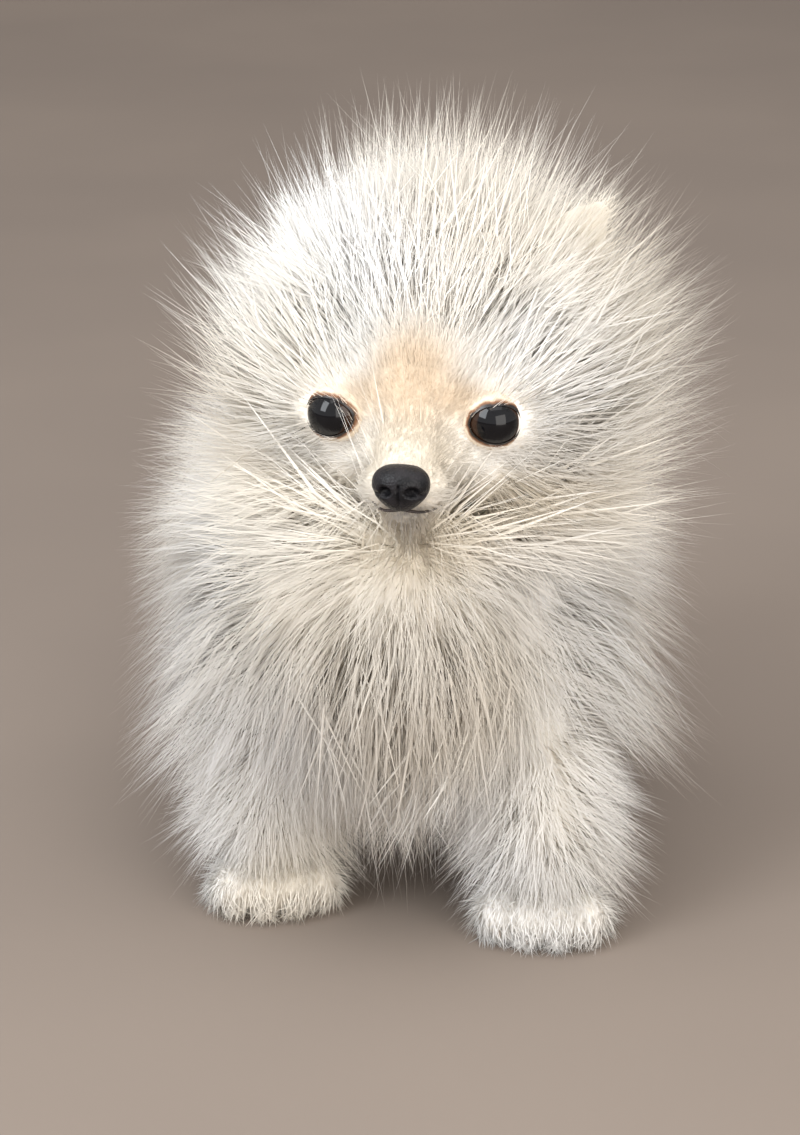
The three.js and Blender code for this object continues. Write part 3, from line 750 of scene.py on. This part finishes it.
def scatter_on(ground, count, rng, weight):
    """Roots on the skin's triangles, with their normals and their places on its unwrap."""
    triangle, slope, plan, area = ground
    chosen = rng.choice(len(area), count, p=weight * area / np.sum(weight * area))
    a, b = rng.random(count), rng.random(count)
    fold = a + b > 1
    a, b = np.where(fold, 1 - a, a), np.where(fold, 1 - b, b)
    share = np.stack([1 - a - b, a, b], 1)[:, :, None]
    return (
        (triangle[chosen] * share).sum(1),
        unit((slope[chosen] * share).sum(1)),
        (plan[chosen] * share).sum(1),
    )


def along_curve(root, lift, tip, t):
    """A place on each hair's curve, from its root at 0 to its tip at 1."""
    return root * (1 - t) ** 2 + lift * 2 * t * (1 - t) + tip * t * t


def clear_of_eyes(tufts, rng):
    """No hair crosses the opening between the lids, along the gaze or from where the viewer stands."""
    keep = np.ones(len(tufts["root"]), bool)
    for side, (wide, high) in OPENING.items():
        viewer = local_to_eye(np.array([VIEWER], float), side)[0]
        soft = 1 + 0.08 * rng.normal(0, 1, len(keep))
        for t in (0.2, 0.35, 0.5, 0.65, 0.8, 0.9, 1.0):
            at = local_to_eye(along_curve(tufts["root"], tufts["lift"], tufts["tip"], t), side)
            ahead = np.maximum(0, -at[:, 1] - EYE["radius"])
            for sideways, upwards in ((0, 0), (-viewer[0] / viewer[1], -viewer[2] / viewer[1])):
                x, z = at[:, 0] - ahead * sideways, at[:, 2] - ahead * upwards
                keep &= ~((np.hypot(x / wide, z / high) < soft) & (at[:, 1] < -2))
    return {key: values[keep] for key, values in tufts.items()}


def tuft_rows(part):
    """The corners of many hairs, ring by ring and then the tip, with the shading normals there."""
    root, lift, tip, normal = part["root"], part["lift"], part["tip"], part["normal"]
    outward = unit(normal * 0.7 + unit(tip - root) * 0.5)
    rows, soft = [], []
    for i in range(RINGS_IN_A_TUFT):
        t = i / RINGS_IN_A_TUFT
        at = along_curve(root, lift, tip, t)
        forward = unit((lift - root) * (1 - t) + (tip - lift) * t)
        across = unit(np.cross(forward, normal))
        proud = np.cross(across, forward)
        girth = (part["width"] * (0.8 + 0.5 * t) * (1 - t) ** 0.75)[:, None] * 0.5
        for k in range(SIDES_OF_A_TUFT):
            angle = 2 * math.pi * k / SIDES_OF_A_TUFT
            flat = proud * (math.cos(angle) * girth * 0.5)
            rows.append(at + across * (math.sin(angle) * girth) + flat)
            round_about = across * math.sin(angle) + proud * math.cos(angle)
            soft.append(unit(outward + round_about * SHINE_ACROSS))
    rows.append(tip)
    soft.append(outward)
    return np.stack(rows, 1).reshape(-1, 3), np.stack(soft, 1).reshape(-1, 3)


def tuft_faces():
    """The triangles of one hair: its root's end, its sides and its point."""
    faces = [(2, 1, 0)]
    for i in range(RINGS_IN_A_TUFT - 1):
        low, high = i * SIDES_OF_A_TUFT, (i + 1) * SIDES_OF_A_TUFT
        for k in range(SIDES_OF_A_TUFT):
            j = (k + 1) % SIDES_OF_A_TUFT
            faces += [(low + k, low + j, high + j), (low + k, high + j, high + k)]
    low, top = (RINGS_IN_A_TUFT - 1) * SIDES_OF_A_TUFT, RINGS_IN_A_TUFT * SIDES_OF_A_TUFT
    return faces + [(low + k, low + (k + 1) % SIDES_OF_A_TUFT, top) for k in range(SIDES_OF_A_TUFT)]


def tuft_piece(name, part, material):
    """One mesh of joined hairs, each bent along its own curve."""
    count = len(part["root"])
    per_tuft = RINGS_IN_A_TUFT * SIDES_OF_A_TUFT + 1
    places, soft = tuft_rows(part)
    heights = np.repeat(np.arange(RINGS_IN_A_TUFT) / RINGS_IN_A_TUFT, SIDES_OF_A_TUFT)
    along = np.tile(np.append(heights, 1.0), count)
    # Painted shade: each hair turns creamier and darker towards its root, deep in the coat
    tint = tinted(coat_tint(places), CREAM, 0.42 * (1 - eased(along, 0.0, 0.8)))
    tint = tinted(tint, CREAM, 0.16 * np.repeat(part["shade"], per_tuft))
    places = np.clip(places * MM + np.array(SHIFT), BOX_LOW, BOX_HIGH)
    starts = np.arange(count) * per_tuft
    corner = (np.array(tuft_faces())[None] + starts[:, None, None]).reshape(-1)
    mesh = bpy.data.meshes.new(name)
    mesh.vertices.add(len(places))
    mesh.vertices.foreach_set("co", places.ravel())
    mesh.loops.add(len(corner))
    mesh.loops.foreach_set("vertex_index", corner)
    mesh.polygons.add(len(corner) // 3)
    mesh.polygons.foreach_set("loop_start", np.arange(0, len(corner), 3))
    sideways = np.tile([0.0, 0.5, 1.0] * RINGS_IN_A_TUFT + [0.5], count)
    patch = np.stack([sideways, along], 1) * PATCH
    spot = np.repeat(part["plan"], per_tuft, 0) * PLAN_SHARE + patch
    mesh.uv_layers.new(name="OFBake").data.foreach_set("uv", spot[corner].ravel())
    wear_tint(mesh, tint)
    mesh.update(calc_edges=True)
    mesh.polygons.foreach_set("use_smooth", [True] * len(mesh.polygons))
    # Light falls on a hair partly as it does on the whole coat around it, which looks soft
    mesh.normals_split_custom_set_from_vertices(soft)
    mesh.materials.append(material)
    piece = bpy.data.objects.new(name, mesh)
    bpy.context.scene.collection.objects.link(piece)
    return piece


def tuft_meshes(name, tufts, material):
    """Joined hairs in numbered pieces of a size that the export keeps."""
    pieces = []
    for start in range(0, len(tufts["root"]), TUFTS_IN_A_PIECE):
        part = {key: values[start : start + TUFTS_IN_A_PIECE] for key, values in tufts.items()}
        pieces.append(tuft_piece(f"{name}_{len(pieces) + 1}", part, material))
    return pieces


def crowding(points, normals):
    """The coat fans out from the skin, so more hairs grow where it has further to spread."""
    lie = Lie(points, normals)
    heading = unit(normals * 0.6 + lie.flow() * 0.4)
    length = length_to_tips(points, heading, np.ones(len(points)), lie, lie.cap(), step=3)
    length = np.maximum(length, (lie.least() - 2) * 3)
    fan = np.where(lie.on_head, 27, np.where(lie.on_leg | lie.on_tail, 9, 32))
    weight = (1 + length / fan) ** 1.6
    # Fewer hairs grow on the belly between the legs, where they hardly show
    between = (points[:, 1] > 40) & (points[:, 1] < 128)
    hidden = (points[:, 2] < 66) & (np.abs(points[:, 0]) < 20) & between
    weight = np.where(hidden, weight * 0.3, weight)
    weight = np.where(lie.on_head, weight * 1.45, weight)
    below = eased(-lie.local[:, 2], 0, 8)
    return weight * eased(lie.spread, 14 + 3 * below, 20 + 4 * below)


def grow_down(ground, weight, material, rng):
    """The soft undercoat: wide pale tufts that stop short of the tips."""
    points, normals, plan = scatter_on(ground, DOWN_TUFTS, rng, weight)
    count = len(points)
    lie = Lie(points, normals)
    flow = lie.flow()
    flow = unit(flow + np.cross(normals, flow) * rng.normal(0, 0.35, count)[:, None])
    rise = (lie.rise() + 0.04 + rng.normal(0, 0.07, count))[:, None]
    heading = unit(normals * rise + flow * (1 - rise))
    reach = 0.89 - 0.20 * rng.random(count)
    cap = lie.cap() * 0.75 * (0.8 + 0.3 * rng.random(count))
    length = length_to_tips(points, heading, reach, lie, cap)
    length = np.maximum(length, lie.least() * 0.8)[:, None]
    lift = points + normals * length * 0.45 + rng.normal(0, 0.06, (count, 3)) * length
    tip = points + heading * length + rng.normal(0, 0.06, (count, 3)) * length
    width = DOWN_WIDTH * np.where(lie.on_head, 0.75, 1.0) * (0.7 + 0.6 * rng.random(count))
    tufts = {
        "root": points - normals * ROOT_DEPTH,
        "lift": lift,
        "tip": tip,
        "normal": normals,
        "width": width * np.clip(length[:, 0] / 42, 0.16, 1.0) ** 1.4,
        "plan": plan,
        "shade": np.clip(rng.normal(0.35, 0.25, count), 0, 1),
    }
    tufts["tip"][:, 2] = np.maximum(tufts["tip"][:, 2], 1.5)
    return tuft_meshes("coat_down", clear_of_eyes(tufts, rng), material)


def grow_long_coat(ground, weight, material, rng):
    """The fine outer hairs, in loose clumps that reach the coat's tips."""
    points, normals, plan = scatter_on(ground, CLUMPS, rng, weight)
    lie = Lie(points, normals)
    flow = lie.flow()
    loose = np.where(lie.on_head, 0.10 + 0.12 * eased(lie.spread, 22, 50), 0.24)
    flow = unit(flow + np.cross(normals, flow) * (rng.normal(0, 1, CLUMPS) * loose)[:, None])
    rise = (lie.rise() + rng.normal(0, 0.06, CLUMPS))[:, None]
    heading = unit(normals * rise + flow * (1 - rise))
    reach = 1.04 - 0.22 * rng.random(CLUMPS) ** 2
    cap = lie.cap() * (0.85 + 0.3 * rng.random(CLUMPS))
    length = length_to_tips(points, heading, reach, lie, cap)
    length = np.maximum(length, lie.least() * (0.9 + 0.3 * rng.random(CLUMPS)))
    # A clump's hairs start close together and part towards their tips, most of all on the crown
    many = HAIRS_IN_A_CLUMP
    shape = (CLUMPS, many)
    long = length[:, None, None]
    across = unit(np.cross(normals, flow))
    angle = rng.random((*shape, 1)) * 2 * math.pi
    away = np.sqrt(rng.random((*shape, 1))) * np.clip(long / 12, 0.4, 1) * 3.2
    offset = (across[:, None] * np.cos(angle) + flow[:, None] * np.sin(angle)) * away
    stretch = long * (1 - 0.26 * rng.random((*shape, 1)) ** 2)
    gather = np.where(lie.on_head & (points[:, 2] > 118), 1.35, 0.95)[:, None, None]
    fan = (1 + long / 34) * gather
    curl = rng.normal(0, 0.07, (CLUMPS, 1, 3)) + rng.normal(0, 0.05, (*shape, 3))
    middle = points[:, None]
    root = middle + offset - normals[:, None] * ROOT_DEPTH
    stray = rng.normal(0, 0.05, (*shape, 3))
    tip = middle + heading[:, None] * stretch + offset * fan + stray * stretch
    upwards = normals[:, None] * 0.42 + flow[:, None] * 0.06 + curl
    lift = middle + upwards * stretch + offset * (1 + fan) / 2
    tip[:, :, 2] -= 0.07 * stretch[:, :, 0] * (1 - np.abs(heading[:, None, 2]))
    tip[:, :, 2] = np.maximum(tip[:, :, 2], 1.0)
    width = HAIR_WIDTH * (0.75 + 0.5 * rng.random(shape)) * np.clip(length / 30, 0.4, 1.0)[:, None]
    shade = rng.normal(0.35, 0.22, CLUMPS)[:, None] + rng.normal(0, 0.12, shape)
    tufts = {
        "root": root.reshape(-1, 3),
        "lift": lift.reshape(-1, 3),
        "tip": tip.reshape(-1, 3),
        "normal": np.repeat(normals, many, 0),
        "width": width.reshape(-1),
        "plan": np.repeat(plan, many, 0),
        "shade": np.clip(shade, 0, 1).reshape(-1),
        "region": np.repeat(lie.region(), many),
    }
    tufts = clear_of_eyes(tufts, rng)
    pieces = []
    for region, name in enumerate(LONG_COATS):
        pick = tufts["region"] == region
        picked = {key: values[pick] for key, values in tufts.items()}
        pieces += tuft_meshes(name, picked, material)
    return pieces


def short_crowding(points, normals):
    """Short hair grows on the face, the feet and the ears, but not in the eyes or on the nose."""
    lie = Lie(points, normals)
    face = np.where(lie.spread < FACE_EDGE, 1.0 + 1.2 * (lie.spread < 18), 0.0)
    foot = np.where(lie.on_leg & (points[:, 2] < 26), 0.9, 0.0)
    ear = np.where(lie.on_ear, 0.8, 0.0)
    bare = np.zeros(len(points), bool)
    for side in (-1, 1):
        at = local_to_eye(points, side)
        bare |= (np.hypot(at[:, 0] / 6.3, at[:, 2] / 5.5) < 1) & (at[:, 1] < 0)
    nose = (lie.local - np.array((0, NOSE["y"] + 1, NOSE["z"]))) / np.array((6.5, 3.6, 5.2))
    bare |= np.linalg.norm(nose, axis=1) < 1
    under_nose = np.linalg.norm((lie.local - (0, -34, -17)) / (8, 8, 3.5), axis=1) < 1
    return np.where(bare, 0.0, face * np.where(under_nose, 0.55, 1.0) + foot + ear)


def grow_short_coat(ground, weight, material, rng):
    """Short flat hair, longer towards the edge of the face."""
    points, normals, plan = scatter_on(ground, SHORT_TUFTS, rng, weight)
    count = len(points)
    lie = Lie(points, normals)
    flow = lie.flow()
    flow = unit(flow + np.cross(normals, flow) * rng.normal(0, 0.28, count)[:, None])
    rise = (np.where(lie.on_leg, 0.34, 0.22) + rng.normal(0, 0.05, count))[:, None]
    heading = unit(normals * rise + flow * (1 - rise))
    face = 2.8 + 5.0 * eased(lie.spread, 9, 22) + 6.5 * eased(lie.spread, 20, 32)
    length = np.where(lie.on_ear, 6.5, np.where(lie.on_leg, 7.5, face))
    length = (length * (0.7 + 0.6 * rng.random(count)))[:, None]
    tufts = {
        "root": points - normals * 0.5,
        "lift": points + normals * length * 0.3 + flow * length * 0.25,
        "tip": points + heading * length,
        "normal": normals,
        "width": SHORT_WIDTH * (0.8 + 0.4 * rng.random(count)) * np.where(lie.on_leg, 1.7, 1.0),
        "plan": plan,
        "shade": np.clip(rng.normal(0.3, 0.25, count), 0, 1),
    }
    tufts["tip"][:, 2] = np.maximum(tufts["tip"][:, 2], 0.6)
    return tuft_meshes("coat_short", clear_of_eyes(tufts, rng), material)


# Eyes, lids, nose, mouth and claws


def eye_place(side):
    """An eye's own frame in the source's frame, with the pupil towards -Y."""
    turn = Matrix.Rotation(math.radians(side * EYE["outward"]), 4, "Z")
    return HEAD_PLACE @ Matrix.Translation((side * EYE["x"], EYE["y"], EYE["z"])) @ turn


def build_eye(side, material):
    bm = bmesh.new()
    add_egg(bm, (0, 0, 0), (EYE["radius"],) * 3, Matrix.Rotation(math.pi / 2, 4, "X"), 48, 32)
    for vertex in bm.verts:
        ahead = -vertex.co.y / EYE["radius"]
        if ahead > 0.5:
            vertex.co.y -= EYE["bulge"] * ((ahead - 0.5) / 0.5) ** 1.5
    facing = bm.verts.layers.float.new("facing")
    for vertex in bm.verts:
        vertex[facing] = -vertex.co.y / EYE["radius"]
    bmesh.ops.transform(bm, matrix=eye_place(side), verts=bm.verts)
    to_metres(bm)
    name = "eyeball_left" if side > 0 else "eyeball_right"
    return finished(name, bm, [material])


def add_ring(bm, radius, tube, around, sides):
    """A ring spun round the Y axis from a small circle."""
    made = bmesh.ops.create_circle(bm, segments=sides, radius=tube)
    bmesh.ops.rotate(bm, matrix=Matrix.Rotation(math.pi / 2, 3, "Y"), verts=made["verts"])
    bmesh.ops.rotate(bm, matrix=Matrix.Rotation(math.pi / 2, 3, "Z"), verts=made["verts"])
    bmesh.ops.translate(bm, vec=(radius, 0, 0), verts=made["verts"])
    bmesh.ops.spin(
        bm,
        geom=bm.verts[:] + bm.edges[:],
        cent=(0, 0, 0),
        axis=(0, 1, 0),
        dvec=(0, 0, 0),
        angle=2 * math.pi,
        steps=around,
        use_merge=True,
    )


def build_lid(side, material):
    """Both lids as one thin shell over the eyeball. Its oval opening is longer at the inner corner."""
    bm = bmesh.new()
    tube, spun_radius = 0.75, 6.0
    add_ring(bm, spun_radius, tube, around=64, sides=20)
    outer = bm.verts.layers.float.new("outer")
    for vertex in bm.verts:
        ring = math.hypot(vertex.co.x, vertex.co.z)
        angle = math.atan2(vertex.co.z, vertex.co.x)
        share = (ring - spun_radius) / (2 * tube) + 0.5
        corner = max(0.0, -side * math.cos(angle)) ** 8
        opening = math.radians(44 * math.cos(angle) ** 2 + 34 * math.sin(angle) ** 2 + 6 * corner)
        away = opening + (math.radians(86) - opening) * share
        thick = 0.45 + 0.5 * share + 0.3 * max(0.0, math.sin(angle))
        flat = math.sin(away)
        out = Vector((flat * math.cos(angle), -math.cos(away), flat * math.sin(angle)))
        vertex[outer] = math.degrees(away - opening)
        vertex.co = out * (EYE["radius"] + 0.45 - vertex.co.y / tube * thick)
    bmesh.ops.recalc_face_normals(bm, faces=bm.faces)
    bmesh.ops.transform(bm, matrix=eye_place(side), verts=bm.verts)
    to_metres(bm)
    return finished("lid_left" if side > 0 else "lid_right", bm, [material])


def build_nose(material):
    bm = bmesh.new()
    turn = Matrix.Rotation(math.pi / 2, 4, "X")
    add_egg(bm, (0, NOSE["y"], NOSE["z"]), (NOSE["wide"], NOSE["high"], NOSE["deep"]), turn, 64, 48)
    for vertex in bm.verts:
        shape_nose(vertex)
    bmesh.ops.transform(bm, matrix=HEAD_PLACE, verts=bm.verts)
    to_metres(bm)
    return finished("nose_pad", bm, [material])


def shape_nose(vertex):
    """Narrower below, flat on top, with a dent for each nostril and a fine groove down the middle."""
    x, y, z = vertex.co.x, vertex.co.y - NOSE["y"], vertex.co.z - NOSE["z"]
    vertex.co.x = x * (1 + 0.05 * z / NOSE["high"] - 0.18 * max(0.0, -z / NOSE["high"]) ** 2)
    if z > 0:
        vertex.co.z -= 0.22 * z * (z / NOSE["high"])
    if y < 0:
        for side in (-1, 1):
            hole = math.hypot((x - side * 3.1) / 1.7, (z + 0.5) / 1.4)
            slit = math.hypot((x - side * 5.2) / 2.4, (z + 1.5) / 0.8)
            vertex.co.y += 2.6 * max(0.0, 1 - hole) ** 0.6 + 1.4 * max(0.0, 1 - slit)
        groove = max(0.0, 1 - abs(x) / 0.5) * (1 if z < 1.5 else 0)
        vertex.co.y += 0.7 * groove


def build_lips(material):
    """A fine dark edge along the mouth, from the groove under the nose back to each corner."""
    bm = bmesh.new()
    steps = 20
    for side in (-1, 1):
        path = []
        for i in range(steps + 1):
            t = i / steps
            across = side * (0.3 + 8.5 * t**0.85)
            back = -36.2 + 0.6 * t + 9.5 * t**2
            up = -16.8 - 1.5 * math.sin(math.pi * t * 0.6)
            path.append(Vector((across, back, up)))
        for i in range(steps):
            radius = 0.55 * (1 - 0.6 * i / steps)
            radii = (radius * 1.15, radius, radius * 0.8)
            add_egg(bm, (path[i] + path[i + 1]) / 2, radii, around=10, rings=8)
    add_egg(bm, (0, -36.6, -15.4), (0.55, 0.9, 1.7), around=12, rings=8)
    bmesh.ops.transform(bm, matrix=HEAD_PLACE, verts=bm.verts)
    to_metres(bm)
    return finished("lips", bm, [material])


def build_claws(material):
    """One short blunt claw ahead of each toe."""
    bm = bmesh.new()
    lean = Matrix.Rotation(math.radians(112), 4, "X")
    for leg in LEGS:
        for i in range(TOES):
            across, ahead = toe_place(i)
            place = foot_place(leg) @ Matrix.Translation((across, ahead - PAW["toe"] * 1.05, 3.4)) @ lean
            claw = bmesh.ops.create_cone(
                bm, cap_ends=True, segments=12, radius1=1.0, radius2=0.35, depth=4.2
            )
            bmesh.ops.transform(bm, matrix=place, verts=claw["verts"])
    to_metres(bm)
    return finished("claws", bm, [material])


# Stage


def look_at(piece, place, target):
    piece.location = place
    piece.rotation_euler = (Vector(target) - Vector(place)).to_track_quat("-Z", "Y").to_euler()


def build_camera():
    """Looks 20 degrees down at the puppy from in front, as the photo does."""
    data = bpy.data.cameras.new("camera")
    data.sensor_width = 36
    data.lens = 99.9
    data.clip_start = 0.02
    camera = bpy.data.objects.new("camera", data)
    bpy.context.scene.collection.objects.link(camera)
    camera.location = placed(*VIEWER)
    camera.rotation_euler = (math.radians(70), 0, 0)
    bpy.context.scene.camera = camera


def add_softbox(name, place, target, wide, high, power, colour):
    data = bpy.data.lights.new(name, "AREA")
    data.shape = "RECTANGLE"
    data.size, data.size_y = wide, high
    data.energy = power
    data.color = colour
    light = bpy.data.objects.new(name, data)
    bpy.context.scene.collection.objects.link(light)
    look_at(light, place, target)


def floor_material():
    material, nodes, links, shader = new_material("pale_floor")
    position = nodes.new("ShaderNodeTexCoord").outputs["Object"]
    soft = ranged(nodes, links, noise(nodes, links, position, 3), 0.3, 0.7)
    warm = mixed(nodes, links, soft, (0.19, 0.155, 0.13, 1), (0.215, 0.175, 0.145, 1))
    links.new(warm, shader.inputs["Base Color"])
    shader.inputs["Roughness"].default_value = 0.7
    return material


def build_floor():
    """A floor that bends up into a backdrop, in metres."""
    bm = bmesh.new()
    half, rise, bend, ahead = 3.0, 3.0, 0.6, 0.6
    made = bmesh.ops.create_grid(bm, x_segments=1, y_segments=1, size=half)
    bmesh.ops.translate(bm, vec=(0, -ahead, 0), verts=made["verts"])
    back = [edge for edge in bm.edges if all(v.co.y > 1 for v in edge.verts)]
    spun = bmesh.ops.spin(
        bm,
        geom=back,
        cent=(0, half - ahead, bend),
        axis=(1, 0, 0),
        dvec=(0, 0, 0),
        angle=math.pi / 2,
        steps=24,
    )
    last = [item for item in spun["geom_last"] if isinstance(item, bmesh.types.BMEdge)]
    raised = bmesh.ops.extrude_edge_only(bm, edges=last)
    verts = [item for item in raised["geom"] if isinstance(item, bmesh.types.BMVert)]
    bmesh.ops.translate(bm, vec=(0, 0, rise), verts=verts)
    bmesh.ops.recalc_face_normals(bm, faces=bm.faces)
    finished("studio_floor", bm, [floor_material()])


def build_light():
    """An even white room with a window, a light overhead and one in front."""
    world = bpy.data.worlds.new("studio")
    bpy.context.scene.world = world
    world.use_nodes = True
    room = world.node_tree.nodes["Background"]
    room.inputs["Color"].default_value = (0.96, 0.95, 0.95, 1)
    room.inputs["Strength"].default_value = 1.15
    middle = placed(0, 60, 110)
    add_softbox("window", placed(-740, -560, 740), middle, 0.5, 0.7, 9.5, (0.92, 0.96, 1.0))
    add_softbox("overhead", placed(60, -200, 1300), middle, 1.1, 1.1, 7, (1.0, 0.98, 0.96))
    add_softbox("front", placed(520, -930, 330), middle, 0.9, 0.9, 8.5, (1.0, 0.96, 0.90))
    bpy.context.scene.view_settings.view_transform = "Standard"


# The whole puppy

low, high = CAD_BOX
BOX_LOW = np.array(low) + HAIR_MARGIN
BOX_HIGH = np.array(high) - HAIR_MARGIN

rng = np.random.default_rng(SEED)
fur = fur_material()
lid_skin = lid_material()
skin = build_skin(skin_material())
ground = ground_of(skin)
middles, slopes = ground[0].mean(1), unit(ground[1].mean(1))
long_weight = crowding(middles, slopes)
coat = grow_down(ground, long_weight, fur, rng)
coat += grow_long_coat(ground, long_weight, fur, rng)
coat += grow_short_coat(ground, short_crowding(middles, slopes), fur, rng)
eye_black = eye_material()
eyes = {side: build_eye(side, eye_black) for side in (-1, 1)}
lids = [build_lid(side, lid_skin) for side in (-1, 1)]
nose_pad = build_nose(nose_material())
lips = build_lips(lip_material())
claws = build_claws(claw_material())

for piece in [skin, nose_pad, lips, claws, *coat, *eyes.values(), *lids]:
    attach(piece, "root")
LEG_NAMES = [leg["name"] for leg in LEGS]
for side, name in ((-1, "right"), (1, "left")):
    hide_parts(f"eye_{name}")
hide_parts("nose")
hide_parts("head", "neck", "torso", "tail", "ear_left", "ear_right", *LEG_NAMES)

build_floor()
build_light()
build_camera()
